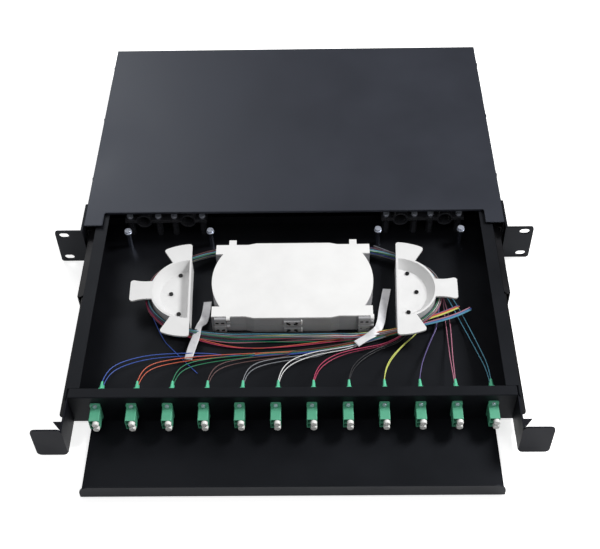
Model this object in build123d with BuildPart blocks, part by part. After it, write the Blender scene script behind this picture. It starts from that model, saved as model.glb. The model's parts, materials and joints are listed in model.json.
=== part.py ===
from build123d import *
import os
from math import cos, radians, sin, tan

os.makedirs("parts", exist_ok=True)

# A 19 inch, 1U fibre optic patch panel with its drawer pulled out.
# Millimetres. X runs to the right, +Y to the back and +Z up.
# The origin is the centre of the four rack slots, on the front face of the ears.

# Sheet metal
sheet = 1.2
bend_radius = 1.0
touch = 0.01
fit_gap = 0.2
screw_gap = 0.15

# Adapters: twelve upright duplex adapters in a row
adapter_count = 12
adapter_pitch = 32.13
adapter_row_x = 1.5
adapter_width = 9.3
adapter_height = 12.8
adapter_nose = 15.6
adapter_tail = 17.0
adapter_flange_height = 22.0
adapter_flange_thickness = 1.8
adapter_screw_spacing = 18.0
adapter_rise = 16.0
port_pitch = 6.25
port_size = 4.6
port_offset = 1.6
port_depth = 9.0
adapter_wall = 0.8
pocket_height = 5.1
adapter_corner = 0.8
adapter_flange_corner = 1.5

# Dust caps in the front ports
cap_radius = 2.9
cap_length = 3.4
cap_edge = 0.8
cap_plug_radius = 2.1
cap_plug_length = 7.0

# Connectors and their boots behind the adapters
connector_size = 4.4
connector_reach = 3.5
boot_length = 8.5
boot_radius = 1.9
boot_tip_radius = 1.0

# Drawer
drawer_travel = 231.0
panel_recess = 31.0
panel_sheet = 1.5
panel_flange = 10.0
panel_foot = 13.0
panel_end_margin = 23.085
drawer_flange = 12.0
rear_lip_height = 9.0
top_gap = 1.8
shelf_clearance = 0.8

# Pull plates at the drawer's front corners
handle_sheet = 1.5
handle_gap = 2.7
handle_width = 26.0
handle_corner = 4.5
handle_lap = 17.0
handle_drop = 1.4
handle_top_rise = 1.5
stop_tab_reach = 9.5
stop_tab_length = 11.0
stop_tab_rise = 26.0

# Cable shelf in front of the adapters
shelf_overhang = 45.6
shelf_width = 364.0
shelf_lap = 20.0
shelf_lip = 15.0
shelf_lip_corner = 9.0

# Three-section slides
slide_thickness = 10.5
slide_height = 27.0
slide_wall = 1.0
slide_length = 250.0
slide_setback = 3.0
slide_rise = 5.5
slide_clearance = 0.4
outer_lip = 7.5
middle_web_gap = 1.6
middle_lip = 6.0
middle_lead = 87.0
middle_length = 220.0
inner_lip = 4.3
inner_lead = 13.0
inner_setback = 7.0
slide_end_radius = 3.0

# Case
case_height = 43.0
case_setback = 9.0
rear_gap = 21.0
notch_side = 19.0
notch_depth = 18.0
notch_corner = 2.0
notch_lip = 1.4
cover_flange_height = 8.0
cover_flange_setback = 40.0
port_width = 80.0
port_height = 20.0
port_corner = 3.0
grommet_lip = 2.5
grommet_bead = 2.0

# Rack ears
ear_height = 43.6
ear_thickness = 2.0
ear_flange_depth = 41.0
ear_corner = 3.0
ear_hole_offset = 19.45
ear_hole_margin = 8.75
rack_hole_rise = 31.75
rack_slot_length = 10.2
rack_slot_width = 6.8

# Fibre room: from the boots back to the drawer's rear edge
tail_room = 50.0
coil_front_width = 17.0
coil_rear_width = 10.0
coil_height = 5.0
coil_gap = 4.5
coil_rear_flare = 2.0
coil_end_width = 9.0
coil_end_angle = 60.0
coil_front_angle = -75.0
coil_front_half = 70.0
coil_rear_half = 80.0
hinge_room = 6.5
tray_rear_gap = 3.5
post_gap = 7.5
clamp_gap = 18.0
clamp_margin = 14.0

# Splice cassettes
tray_width = 155.0
tray_depth = 93.5
tray_offset = -1.0
cassette_height = 9.8
tray_wall = 1.6
lid_thickness = 1.6
tray_gap = 0.2
tray_tab = 12.5
tray_notch = 7.5
tray_end_bulge = 2.0
tray_side_bulge = 2.0
bulge_half_length = 37.0
bulge_slope = 8.0
hinge_radius = 1.7
hinge_pin_radius = 0.8
hinge_pin_gap = 0.08
hinge_block_width = 11.0
hinge_knuckle_width = 3.5
hinge_side_gap = 0.3
hinge_spacing = 138.0
hinge_hole_radius = 1.1
hinge_hole_spacing = 6.0
hinge_hole_rise = 4.0
catch_width = 16.0
catch_height = 6.0
catch_rise = 1.5
catch_depth = 2.2
catch_hole_radius = 1.2
guide_radius = 17.0
guide_spacing = 92.0
comb_ribs = 7
comb_pitch = 5.0
comb_length = 32.0
rib_height = 3.0
latch_tab_width = 7.5
latch_tab_reach = 6.5
latch_tab_spacing = 122.0

# Fibre spools
spool_spacing = 202.0
spool_setback = 56.0
spool_turn = 2.3
spool_height = 20.0
spool_radius = 39.5
spool_wall = 2.0
spool_floor_rise = 11.0
spool_tab_reach = 59.5
spool_tab_thickness = 1.8
spool_tab_angle = 28.5
spool_tab_width = 29.0
spool_tab_neck = 23.0
spool_tab_sag = 1.5
spool_tab_corner = 3.0
spool_slope = 7.0
spool_boss_radius = 3.5
spool_hole_spots = [(11.5, 24.5), (11.5, -25.5), (20.0, 0.5)]

# Cable clamps at the back of the drawer
clamp_x = 133.0
clamp_rise = 22.1
clamp_bar_width = 11.0
clamp_bar_thickness = 1.5
clamp_bar_gap = 0.6
clamp_eye_radius = 6.5
clamp_screw_reach = 37.5
clamp_screw_inset = 8.3
clamp_bar_margin = 5.0
standoff_radius = 3.6
post_x = 128.8
post_spread = 85.0
post_height = 19.5
post_radius = 2.6
washer_radius = 3.9
washer_thickness = 1.0

# Screws
cover_screw_shares = (0.25, 0.58, 0.9)
ear_screw_shares = (0.4, 0.8)
ear_screw_margin = 4.0
foot_screw_margin = 4.0
foot_screw_steps = (-4.5, -1.5, 1.5, 4.5)
screw_radius = 1.5
screw_head_radius = 2.8
screw_head_height = 1.3
spool_screw_head = 2.1
adapter_screw_radius = 1.0
adapter_screw_head = 1.9
clamp_screw_radius = 1.9
clamp_screw_head = 3.2
clamp_screw_head_height = 2.2

# Pigtails and straps
fibre_radius = 0.45
bundle_radius = 1.0
bend_share = 0.45
strap_width = 8.0
strap_thickness = 0.6
strap_xs = {"strap_left": -94.0, "strap_right": 80.0}
strap_turn = 13.0
strap_shift = 2.5
strap_rest = 9.0
strap_tail = 3.5
strap_droop = 2.0

# Levels and places that follow from the sizes above
base_z = -ear_height / 2
case_top = base_z + case_height
wall_top = case_top - sheet
shelf_z = base_z + sheet + shelf_clearance
floor_z = shelf_z + sheet
floor_top = floor_z + sheet
drawer_top = wall_top - top_gap
adapter_z = floor_top + adapter_rise
slide_z = base_z + slide_rise + slide_height / 2
clamp_z = floor_top + clamp_rise

adapter_half = adapter_pitch * (adapter_count - 1) / 2
adapter_xs = [adapter_row_x - adapter_half + adapter_pitch * i for i in range(adapter_count)]
drawer_inner = adapter_half + panel_end_margin
drawer_half = drawer_inner + sheet
case_inner = drawer_half + slide_thickness + slide_clearance
case_half = case_inner + sheet
rack_hole_x = case_half + ear_hole_offset
ear_end = rack_hole_x + ear_hole_margin
panel_half = drawer_inner - handle_sheet - fit_gap

panel_y = panel_recess - drawer_travel
nose_y = panel_y - adapter_nose
tail_y = panel_y + adapter_tail
boot_y = tail_y + connector_reach
boot_tip_y = boot_y + boot_length
handle_y = -drawer_travel - handle_gap
shelf_y = -drawer_travel - shelf_overhang
coil_front = boot_tip_y + tail_room
coil_front_inner = coil_front + coil_front_width
tray_front = coil_front_inner + hinge_room
tray_rear = tray_front + tray_depth
coil_rear_inner = tray_rear + tray_rear_gap
coil_rear = coil_rear_inner + coil_rear_width
strap_y = (coil_front + coil_front_inner) / 2 + strap_shift
post_y = coil_rear + post_gap
clamp_y = post_y + clamp_gap
drawer_rear = clamp_y + clamp_margin
case_rear = drawer_rear + drawer_travel + rear_gap
case_depth = case_rear - case_setback
slide_front = case_setback + slide_setback
spool_x = spool_spacing / 2
spool_y = tray_rear - spool_setback

low = (Align.CENTER, Align.CENTER, Align.MIN)
high = (Align.CENTER, Align.CENTER, Align.MAX)
low_left = (Align.MIN, Align.MIN)
low_middle = (Align.CENTER, Align.MIN)


def front_plane(y):
    """Sketch plane seen from the front, with X to the right and Z up, at depth y."""
    return Plane.XZ.offset(-y)


def facing(x, y, z, direction):
    """Plane at a point, with its normal along the given direction."""
    return Plane(origin=(x, y, z), z_dir=direction)


def drill(places, radius, depth):
    """Cut round holes from each place down along its normal."""
    with Locations(*places):
        Cylinder(radius, depth, align=high, mode=Mode.SUBTRACT)


def screws(places, head_radius, head_height, shank_radius, shank_length):
    """Pan-head screws whose heads sit on each place."""
    with Locations(*places):
        Cylinder(head_radius, head_height, align=low)
        Cylinder(shank_radius, shank_length, align=high)


def save(piece, name):
    piece.part.label = name
    export_step(piece.part, f"parts/{name}.step")


def save_pair(right, name):
    """Write the right-hand piece and its mirror image on the left."""
    save(right, f"{name}_right")
    with BuildPart() as left:
        mirror(right.part, about=Plane.YZ)
    save(left, f"{name}_left")


# Screw places on the case's sides
cover_screw_z = wall_top - cover_flange_height / 2
cover_screw_ys = [case_setback + case_depth * share for share in cover_screw_shares]
ear_screw_ys = [ear_flange_depth * share for share in ear_screw_shares]
ear_screw_rise = slide_height / 2 - ear_screw_margin
cover_screw_places = []
ear_screw_places = []
for side in (-1, 1):
    for y in cover_screw_ys:
        cover_screw_places.append(facing(side * case_half, y, cover_screw_z, (side, 0, 0)))
    for y in ear_screw_ys:
        for z in (slide_z - ear_screw_rise, slide_z + ear_screw_rise):
            ear_screw_places.append(facing(side * (case_half + ear_thickness), y, z, (side, 0, 0)))

# Case chassis: bottom, side walls and rear wall with two cable openings in line with the clamps
port_spots = [(-clamp_x, clamp_z), (clamp_x, clamp_z)]
with BuildPart() as case_chassis:
    with BuildSketch(front_plane(case_setback)):
        with Locations((0, base_z)):
            Rectangle(2 * case_half, wall_top - base_z, align=low_middle)
        with Locations((0, base_z + sheet)):
            Rectangle(2 * case_inner, case_height, align=low_middle, mode=Mode.SUBTRACT)
    extrude(amount=-case_depth)
    with BuildSketch(front_plane(case_rear - sheet)):
        with Locations((0, base_z)):
            Rectangle(2 * case_half, wall_top - base_z, align=low_middle)
        with Locations(*port_spots):
            RectangleRounded(port_width, port_height, port_corner, mode=Mode.SUBTRACT)
    extrude(amount=-sheet)
    fillet(case_chassis.edges().filter_by(Axis.Y).group_by(Axis.Z)[0], bend_radius)
    drill(cover_screw_places, screw_radius + screw_gap, sheet)
    drill(ear_screw_places, screw_radius + screw_gap, ear_thickness + sheet)
save(case_chassis, "case_chassis")

# Case cover: top plate with the wide front notch, and flanges inside the side walls
with BuildPart() as case_cover:
    with BuildSketch(Plane.XY.offset(wall_top)):
        with Locations((0, case_setback)):
            Rectangle(2 * case_half, case_depth, align=low_middle)
            Rectangle(2 * (case_half - notch_side), notch_depth, align=low_middle, mode=Mode.SUBTRACT)
    extrude(amount=sheet)
    notch_corners = case_cover.edges().filter_by(Axis.Z).filter_by_position(
        Axis.Y, case_setback + notch_depth / 2, case_setback + notch_depth * 1.5
    )
    fillet(notch_corners, notch_corner)
    notch_half = case_half - notch_side - notch_corner
    with BuildSketch(Plane.XY.offset(wall_top)):
        with Locations((0, case_setback + notch_depth)):
            Rectangle(2 * notch_half, sheet, align=low_middle)
    extrude(amount=-notch_lip)
    flange_x = case_inner - fit_gap - sheet / 2
    flange_length = case_depth - cover_flange_setback - 2 * sheet
    flange_y = case_setback + cover_flange_setback
    with BuildSketch(Plane.XY.offset(wall_top)):
        with Locations((-flange_x, flange_y), (flange_x, flange_y)):
            Rectangle(sheet, flange_length, align=low_middle)
    extrude(amount=-cover_flange_height)
    drill(cover_screw_places, screw_radius + screw_gap, 2 * sheet + 2 * fit_gap)
save(case_cover, "case_cover")

# Screws of cover and ears
with BuildPart() as case_screws:
    screws(cover_screw_places, screw_head_radius, screw_head_height, screw_radius, 2 * sheet + fit_gap)
    screws(ear_screw_places, screw_head_radius, screw_head_height, screw_radius, ear_thickness + sheet)
save(case_screws, "case_screws")

# Rack ears: L-brackets on the outside of the case walls
with BuildPart() as rack_ear:
    with BuildSketch(Plane.XY.offset(base_z)):
        with Locations((case_half, 0)):
            Rectangle(ear_end - case_half, ear_thickness, align=low_left)
            Rectangle(ear_thickness, ear_flange_depth, align=low_left)
    extrude(amount=ear_height)
    fillet(rack_ear.edges().filter_by(Axis.Y).group_by(Axis.X)[-1], ear_corner)
    fillet(rack_ear.edges().filter_by(Axis.X).group_by(Axis.Y)[-1], ear_corner)
    with BuildSketch(front_plane(0)):
        with Locations((rack_hole_x, 0)):
            with GridLocations(0, rack_hole_rise, 1, 2):
                SlotOverall(rack_slot_length, rack_slot_width)
    extrude(amount=-ear_thickness, mode=Mode.SUBTRACT)
    drill(ear_screw_places, screw_radius + screw_gap, ear_thickness)
save_pair(rack_ear, "rack_ear")


def grommet_frame(outside, inside):
    """Rounded frame that reaches past a cable opening's edge and into it by the given amounts."""
    width, height = port_width + 2 * outside, port_height + 2 * outside
    RectangleRounded(width, height, port_corner + outside)
    width, height = port_width - 2 * inside, port_height - 2 * inside
    RectangleRounded(width, height, port_corner - inside, mode=Mode.SUBTRACT)


# Rubber grommets round the rear cable openings
with BuildPart() as rear_grommets:
    with BuildSketch(front_plane(case_rear - sheet - grommet_bead)):
        with Locations(*port_spots):
            grommet_frame(grommet_lip, grommet_bead)
    extrude(amount=-(sheet + 2 * grommet_bead))
    with BuildSketch(front_plane(case_rear - sheet)):
        with Locations(*port_spots):
            grommet_frame(2 * grommet_lip, fit_gap)
    extrude(amount=-sheet, mode=Mode.SUBTRACT)
save(rear_grommets, "rear_grommets")


def channel(web_x, tip_x, height, front_y, length):
    """C-shaped slide member from the outer face of its web to the tips of its lips."""
    inward = 1 if tip_x > web_x else -1
    with BuildPart() as member:
        with BuildSketch(front_plane(front_y)):
            with Locations(((web_x + tip_x) / 2, slide_z)):
                Rectangle(abs(tip_x - web_x), height)
            with Locations(((web_x + tip_x) / 2 + inward * slide_wall, slide_z)):
                Rectangle(abs(tip_x - web_x), height - 2 * slide_wall, mode=Mode.SUBTRACT)
        extrude(amount=-length)
        tips = member.edges().filter_by(Axis.Z).filter_by_position(Axis.X, tip_x - touch, tip_x + touch)
        fillet(tips.group_by(Axis.Y)[0], slide_end_radius)
    return member


# Slides: the outer member on the case, the middle one inside it and the inner one on the drawer
middle_web_x = case_inner - slide_wall - middle_web_gap
middle_height = slide_height - 2 * slide_wall - 2 * slide_clearance
inner_height = middle_height - 2 * slide_wall - 2 * slide_clearance
inner_length = drawer_rear - inner_setback - panel_y + inner_lead
slide_outer = channel(case_inner, case_inner - outer_lip, slide_height, slide_front, slide_length)
slide_middle = channel(
    middle_web_x, middle_web_x - middle_lip, middle_height, slide_front - middle_lead, middle_length
)
slide_inner = channel(drawer_half, drawer_half + inner_lip, inner_height, panel_y - inner_lead, inner_length)
save_pair(slide_outer, "slide_outer")
save_pair(slide_middle, "slide_middle")
save_pair(slide_inner, "slide_inner")

# Screw places on the drawer
foot_screw_y = panel_y + panel_foot - foot_screw_margin
foot_screw_xs = [adapter_pitch * step for step in foot_screw_steps]
foot_screw_places = [facing(x, foot_screw_y, floor_top + sheet, (0, 0, 1)) for x in foot_screw_xs]
handle_screw_places = []
for side in (-1, 1):
    for z in (slide_z - inner_height / 4, slide_z + inner_height / 4):
        inside_x = side * (drawer_inner - handle_sheet)
        handle_screw_places.append(facing(inside_x, panel_y + handle_lap / 2, z, (-side, 0, 0)))

# Drawer: floor, side walls with inward top flanges, and a low rear lip
with BuildPart() as drawer_tray:
    drawer_length = drawer_rear - panel_y
    with BuildSketch(front_plane(panel_y)):
        with Locations((0, floor_z)):
            Rectangle(2 * drawer_half, drawer_top - floor_z, align=low_middle)
        with Locations((0, floor_top)):
            Rectangle(2 * drawer_inner, drawer_top - floor_top, align=low_middle, mode=Mode.SUBTRACT)
    extrude(amount=-drawer_length)
    fillet(drawer_tray.edges().filter_by(Axis.Y).group_by(Axis.Z)[0], bend_radius)
    with BuildSketch(Plane.XY.offset(drawer_top)):
        with Locations((0, panel_y + panel_flange + fit_gap)):
            Rectangle(2 * drawer_half, drawer_length - panel_flange - fit_gap, align=low_middle)
            Rectangle(2 * (drawer_half - drawer_flange), drawer_length, align=low_middle, mode=Mode.SUBTRACT)
    extrude(amount=-sheet)
    with BuildSketch(front_plane(drawer_rear - sheet)):
        with Locations((0, floor_z)):
            Rectangle(2 * drawer_half, rear_lip_height + sheet, align=low_middle)
    extrude(amount=-sheet)
    drill(foot_screw_places, screw_radius + screw_gap, 3 * sheet)
    drill(handle_screw_places, screw_radius + screw_gap, handle_sheet + sheet)
save(drawer_tray, "drawer_tray")

# Adapter panel: upright plate with a top flange and a foot, both turned to the back
adapter_screw_places = []
for x in adapter_xs:
    for side in (-1, 1):
        z = adapter_z + side * adapter_screw_spacing / 2
        adapter_screw_places.append(facing(x, panel_y - adapter_flange_thickness, z, (0, -1, 0)))
with BuildPart() as adapter_panel:
    with BuildSketch(front_plane(panel_y)):
        with Locations((0, floor_top)):
            Rectangle(2 * panel_half, drawer_top - floor_top, align=low_middle)
        with Locations(*[(x, adapter_z) for x in adapter_xs]):
            Rectangle(adapter_width + 2 * fit_gap, adapter_height + 2 * fit_gap, mode=Mode.SUBTRACT)
    extrude(amount=-panel_sheet)
    with BuildSketch(Plane.XY.offset(drawer_top)):
        with Locations((0, panel_y)):
            Rectangle(2 * panel_half, panel_flange, align=low_middle)
    extrude(amount=-sheet)
    with BuildSketch(Plane.XY.offset(floor_top)):
        with Locations((0, panel_y)):
            Rectangle(2 * panel_half, panel_foot, align=low_middle)
    extrude(amount=sheet)
    fillet(adapter_panel.edges().filter_by(Axis.X).group_by(Axis.Z)[-1].sort_by(Axis.Y)[0], bend_radius)
    drill(adapter_screw_places, adapter_screw_radius + screw_gap, adapter_flange_thickness + panel_sheet)
    drill(foot_screw_places, screw_radius + screw_gap, sheet)
save(adapter_panel, "adapter_panel")

# Pull plates: side plate inside the drawer wall, front plate turned outwards, stop tab on the side
handle_foot = floor_top + fit_gap
handle_side_top = drawer_top - sheet - fit_gap
handle_plate_top = drawer_top + handle_top_rise
handle_plate_foot = floor_top - handle_drop
with BuildPart() as handle:
    with BuildSketch(Plane.XY.offset(handle_foot)):
        with Locations((drawer_inner - handle_sheet, handle_y)):
            Rectangle(handle_sheet, panel_y + handle_lap - handle_y, align=low_left)
    extrude(amount=handle_side_top - handle_foot)
    with BuildSketch(front_plane(handle_y - handle_sheet)):
        with Locations((drawer_inner - handle_sheet, handle_plate_foot)):
            plate_height = handle_plate_top - handle_plate_foot
            plate = Rectangle(handle_width + handle_sheet, plate_height, align=low_left)
        fillet(plate.vertices(), handle_corner)
    extrude(amount=-handle_sheet)
    tab_rear = slide_front - drawer_travel - slide_clearance
    with BuildSketch(Plane.XY.offset(floor_top + stop_tab_rise)):
        with BuildLine():
            Polyline(
                (drawer_inner, tab_rear),
                (drawer_inner + stop_tab_reach, tab_rear),
                (drawer_inner, tab_rear - stop_tab_length),
                close=True,
            )
        make_face()
    extrude(amount=handle_sheet)
    drill(handle_screw_places, screw_radius + screw_gap, handle_sheet)
save_pair(handle, "handle")

# Cable shelf with an upturned lip
with BuildPart() as front_shelf:
    with BuildSketch(Plane.XY.offset(shelf_z)):
        with Locations((0, shelf_y)):
            Rectangle(shelf_width, panel_y + shelf_lap - shelf_y, align=low_middle)
    extrude(amount=sheet)
    with BuildSketch(front_plane(shelf_y)):
        with Locations((0, shelf_z)):
            lip = Rectangle(shelf_width, shelf_lip, align=low_middle)
        fillet(lip.vertices().group_by(Axis.Y)[-1], shelf_lip_corner)
    extrude(amount=-sheet)
    drill(foot_screw_places, screw_radius + screw_gap, 3 * sheet)
save(front_shelf, "front_shelf")

# Screws of panel, shelf and pull plates
with BuildPart() as drawer_screws:
    screws(foot_screw_places, screw_head_radius, screw_head_height, screw_radius, 3 * sheet)
    screws(handle_screw_places, screw_head_radius, screw_head_height, screw_radius, handle_sheet + sheet)
save(drawer_screws, "drawer_screws")

# One adapter: body through the panel, flange in front of it, two ports at each end
port_zs = [adapter_z - port_pitch / 2, adapter_z + port_pitch / 2]
with BuildPart() as adapter:
    with BuildSketch(front_plane(nose_y)):
        with Locations((0, adapter_z)):
            body = Rectangle(adapter_width, adapter_height)
        fillet(body.vertices(), adapter_corner)
    extrude(amount=-(adapter_nose + adapter_tail))
    with BuildSketch(front_plane(panel_y - adapter_flange_thickness)):
        with Locations((0, adapter_z)):
            flange = Rectangle(adapter_width, adapter_flange_height)
        fillet(flange.vertices(), adapter_flange_corner)
    extrude(amount=-adapter_flange_thickness)
    for z in port_zs:
        with BuildSketch(front_plane(nose_y)):
            with Locations((0, z)):
                Rectangle(adapter_width - 2 * adapter_wall, pocket_height)
        extrude(amount=-port_depth, mode=Mode.SUBTRACT)
        with BuildSketch(front_plane(tail_y)):
            with Locations((port_offset, z)):
                Rectangle(port_size, port_size)
        extrude(amount=port_depth, mode=Mode.SUBTRACT)
    adapter_hole_places = []
    for side in (-1, 1):
        z = adapter_z + side * adapter_screw_spacing / 2
        adapter_hole_places.append(facing(0, panel_y - adapter_flange_thickness, z, (0, -1, 0)))
    drill(adapter_hole_places, adapter_screw_radius + screw_gap, adapter_flange_thickness)
with BuildPart() as lc_adapters:
    with Locations(*[(x, 0, 0) for x in adapter_xs]):
        add(adapter.part)
save(lc_adapters, "lc_adapters")

# Screws through the adapters' flanges
with BuildPart() as adapter_screws:
    adapter_shank = adapter_flange_thickness + panel_sheet
    screws(adapter_screw_places, adapter_screw_head, screw_head_height, adapter_screw_radius, adapter_shank)
save(adapter_screws, "adapter_screws")

# Dust caps: round heads on plugs that sit in the front ports
for number, x in enumerate(adapter_xs, start=1):
    with BuildPart() as dust_cap:
        cap_places = [facing(x + port_offset, nose_y, z, (0, -1, 0)) for z in port_zs]
        with Locations(*cap_places):
            Cylinder(cap_radius, cap_length, align=low)
            Cylinder(cap_plug_radius, cap_plug_length, align=high)
        fillet(dust_cap.edges().filter_by(GeomType.CIRCLE).group_by(Axis.Y)[0], cap_edge)
    save(dust_cap, f"dust_cap_{number:02d}")

# Connectors in the rear ports, each with a tapered boot
with BuildPart() as lc_connectors:
    connector_depth = connector_reach + port_depth - fit_gap
    connector_places = []
    for x in adapter_xs:
        for z in port_zs:
            connector_places.append(facing(x + port_offset, boot_y, z, (0, 1, 0)))
    with Locations(*connector_places):
        Box(connector_size, connector_size, connector_depth, align=high)
        Cone(boot_radius, boot_tip_radius, boot_length, align=low)
save(lc_connectors, "lc_connectors")

# Fibre spool about its own centre: half-round bowl on bosses, with three tabs that keep the fibre down
spool_top = floor_top + spool_height
spool_hole_z = floor_top + spool_floor_rise
spool_holes = [facing(x, y, spool_hole_z, (0, 0, 1)) for x, y in spool_hole_spots]
spool_place = Location((spool_x, spool_y, 0), (0, 0, -spool_turn))
bowl_radius = spool_radius - spool_wall


def half_disc(radius, flat):
    """Half disc with its flat side set in by the given distance."""
    Circle(radius)
    with Locations((flat, 0)):
        Rectangle(3 * radius, 3 * radius, align=(Align.MAX, Align.CENTER), mode=Mode.SUBTRACT)


with BuildPart() as spool_blank:
    with BuildSketch(Plane.XY.offset(floor_top)):
        half_disc(spool_radius, 0)
    extrude(amount=spool_height)
    with BuildSketch(Plane.XY.offset(spool_hole_z)):
        half_disc(bowl_radius - spool_slope, spool_wall)
    with BuildSketch(Plane.XY.offset(spool_top)):
        half_disc(bowl_radius, spool_wall)
    loft(ruled=True, mode=Mode.SUBTRACT)
    with BuildSketch(Plane.XY.offset(floor_top)):
        half_disc(bowl_radius, spool_wall)
        with Locations(*spool_hole_spots):
            Circle(spool_boss_radius, mode=Mode.SUBTRACT)
    extrude(amount=spool_floor_rise - spool_wall, mode=Mode.SUBTRACT)
    with BuildSketch(Plane.XY.offset(spool_top)) as tabs:
        for side in (-1, 1):
            with BuildLine():
                start = 90 * side
                turn = -spool_tab_angle * side
                edge = CenterArc((0, 0), spool_tab_reach, start, turn)
                root = CenterArc((0, 0), bowl_radius, start, turn)
                Line(edge @ 0, root @ 0)
                Line(edge @ 1, root @ 1)
            make_face()
        with BuildLine():
            neck = (bowl_radius, spool_tab_neck / 2)
            corner = (spool_tab_reach, spool_tab_width / 2)
            low_corner = (spool_tab_reach, -spool_tab_width / 2)
            low_neck = (bowl_radius, -spool_tab_neck / 2)
            SagittaArc(neck, corner, -spool_tab_sag)
            Line(corner, low_corner)
            SagittaArc(low_corner, low_neck, -spool_tab_sag)
            Line(low_neck, neck)
        make_face()
        outer_corners = tabs.vertices().filter_by(lambda v: Vector(v.X, v.Y).length > spool_tab_reach - touch)
        fillet(outer_corners, spool_tab_corner)
    extrude(amount=-spool_tab_thickness)
    drill(spool_holes, screw_radius + screw_gap, spool_floor_rise)
with BuildPart() as spool:
    with Locations(spool_place):
        add(spool_blank.part)
save_pair(spool, "spool")

# Screws that hold the spools to the drawer's floor
with BuildPart() as spool_screw_blank:
    screws(spool_holes, spool_screw_head, screw_head_height, screw_radius, spool_floor_rise)
with BuildPart() as spool_screws:
    with Locations(spool_place):
        add(spool_screw_blank.part)
    mirror(about=Plane.YZ)
save(spool_screws, "spool_screws")

# Splice cassettes: shared outline with corner tabs, bowed ends and a slight bulge along both sides
tray_y = tray_front + tray_depth / 2
lower_z = floor_top
upper_z = lower_z + cassette_height + tray_gap
lid_z = upper_z + cassette_height + tray_gap


def tray_outline(z, inset=0):
    """The cassette's outline at height z, or the room inside its walls."""
    half_x = tray_width / 2 - inset
    half_y = tray_depth / 2 - inset
    tab_y = tray_depth / 2 - tray_tab + inset
    bulge_y = half_y + tray_side_bulge
    notch_x = half_x - tray_notch
    with BuildSketch(Plane((tray_offset, tray_y, z))) as outline:
        with BuildLine():
            Polyline(
                (0, -bulge_y),
                (bulge_half_length, -bulge_y),
                (bulge_half_length + bulge_slope, -half_y),
                (half_x, -half_y),
                (half_x, -tab_y),
                (notch_x, -tab_y),
            )
            ThreePointArc((notch_x, -tab_y), (half_x + tray_end_bulge, 0), (notch_x, tab_y))
            Polyline(
                (notch_x, tab_y),
                (half_x, tab_y),
                (half_x, half_y),
                (bulge_half_length + bulge_slope, half_y),
                (bulge_half_length, bulge_y),
                (0, bulge_y),
            )
            mirror(about=Plane.YZ)
        make_face()
    return outline.sketch


hinge_y = tray_front - hinge_radius - hinge_side_gap
hinge_xs = [tray_offset - hinge_spacing / 2, tray_offset + hinge_spacing / 2]


def hinge_blocks(hinge_z, foot_z):
    """Blocks on a cassette's front side, bored for the hinge pins of the piece above."""
    for x in hinge_xs:
        with BuildSketch(Plane.YZ.offset(x - hinge_block_width / 2)) as block:
            with Locations((hinge_y, hinge_z)):
                Circle(hinge_radius)
            with Locations((hinge_y - hinge_radius, foot_z)):
                Rectangle(tray_front - hinge_y + hinge_radius, hinge_z - foot_z, align=low_left)
            with Locations((hinge_y, hinge_z)):
                Circle(hinge_pin_radius + hinge_pin_gap, mode=Mode.SUBTRACT)
        extrude(block.sketch, amount=hinge_block_width)
        hole_xs = (x - hinge_hole_spacing / 2, x + hinge_hole_spacing / 2)
        hole_y = hinge_y - hinge_radius
        hole_z = hinge_z - hinge_hole_rise
        hole_places = [facing(hole_x, hole_y, hole_z, (0, -1, 0)) for hole_x in hole_xs]
        drill(hole_places, hinge_hole_radius, hinge_radius)


def hinge_knuckles(hinge_z, web_height):
    """Knuckles beside the blocks, with pins that turn in the blocks' bores."""
    for x in hinge_xs:
        knuckle_x = x + hinge_block_width / 2 + hinge_side_gap
        with BuildSketch(Plane.YZ.offset(knuckle_x)) as knuckle:
            with Locations((hinge_y, hinge_z)):
                Circle(hinge_radius)
            with Locations((hinge_y, hinge_z + tray_gap)):
                Rectangle(tray_front - hinge_y + tray_wall, web_height, align=low_left)
        extrude(knuckle.sketch, amount=hinge_knuckle_width)
        with BuildSketch(Plane.YZ.offset(knuckle_x)) as pin:
            with Locations((hinge_y, hinge_z)):
                Circle(hinge_pin_radius)
        extrude(pin.sketch, amount=-(hinge_block_width + hinge_side_gap))


def cassette(z):
    """Open cassette with fibre guides and a splice comb on its floor."""
    extrude(tray_outline(z), amount=cassette_height)
    extrude(tray_outline(z + tray_wall, tray_wall), amount=cassette_height, mode=Mode.SUBTRACT)
    with BuildSketch(Plane((tray_offset, tray_y, z + tray_wall))) as ribs:
        with GridLocations(guide_spacing, 0, 2, 1):
            Circle(guide_radius)
            Circle(guide_radius - tray_wall, mode=Mode.SUBTRACT)
        with GridLocations(comb_pitch, 0, comb_ribs, 1):
            Rectangle(tray_wall, comb_length)
    extrude(ribs.sketch, amount=rib_height)
    with BuildSketch(front_plane(tray_front - tray_side_bulge - catch_depth)) as catch:
        with Locations((tray_offset, z + catch_rise + catch_height / 2)):
            Rectangle(catch_width, catch_height)
            with GridLocations(catch_width / 2, catch_height / 2, 2, 2):
                Circle(catch_hole_radius, mode=Mode.SUBTRACT)
    extrude(catch.sketch, amount=-(catch_depth + tray_wall / 2))


with BuildPart() as splice_tray_lower:
    cassette(lower_z)
    hinge_blocks(upper_z - tray_gap / 2, lower_z)
save(splice_tray_lower, "splice_tray_lower")

with BuildPart() as splice_tray_upper:
    cassette(upper_z)
    hinge_blocks(lid_z - tray_gap / 2, upper_z + hinge_radius + 2 * hinge_side_gap)
    hinge_knuckles(upper_z - tray_gap / 2, cassette_height / 2)
save(splice_tray_upper, "splice_tray_upper")

with BuildPart() as splice_tray_lid:
    extrude(tray_outline(lid_z), amount=lid_thickness)
    with BuildSketch(Plane((tray_offset, tray_rear, lid_z))):
        with GridLocations(latch_tab_spacing, 0, 2, 1):
            Rectangle(latch_tab_width, 2 * latch_tab_reach)
    extrude(amount=lid_thickness)
    hinge_knuckles(lid_z - tray_gap / 2, lid_thickness)
save(splice_tray_lid, "splice_tray_lid")

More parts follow.
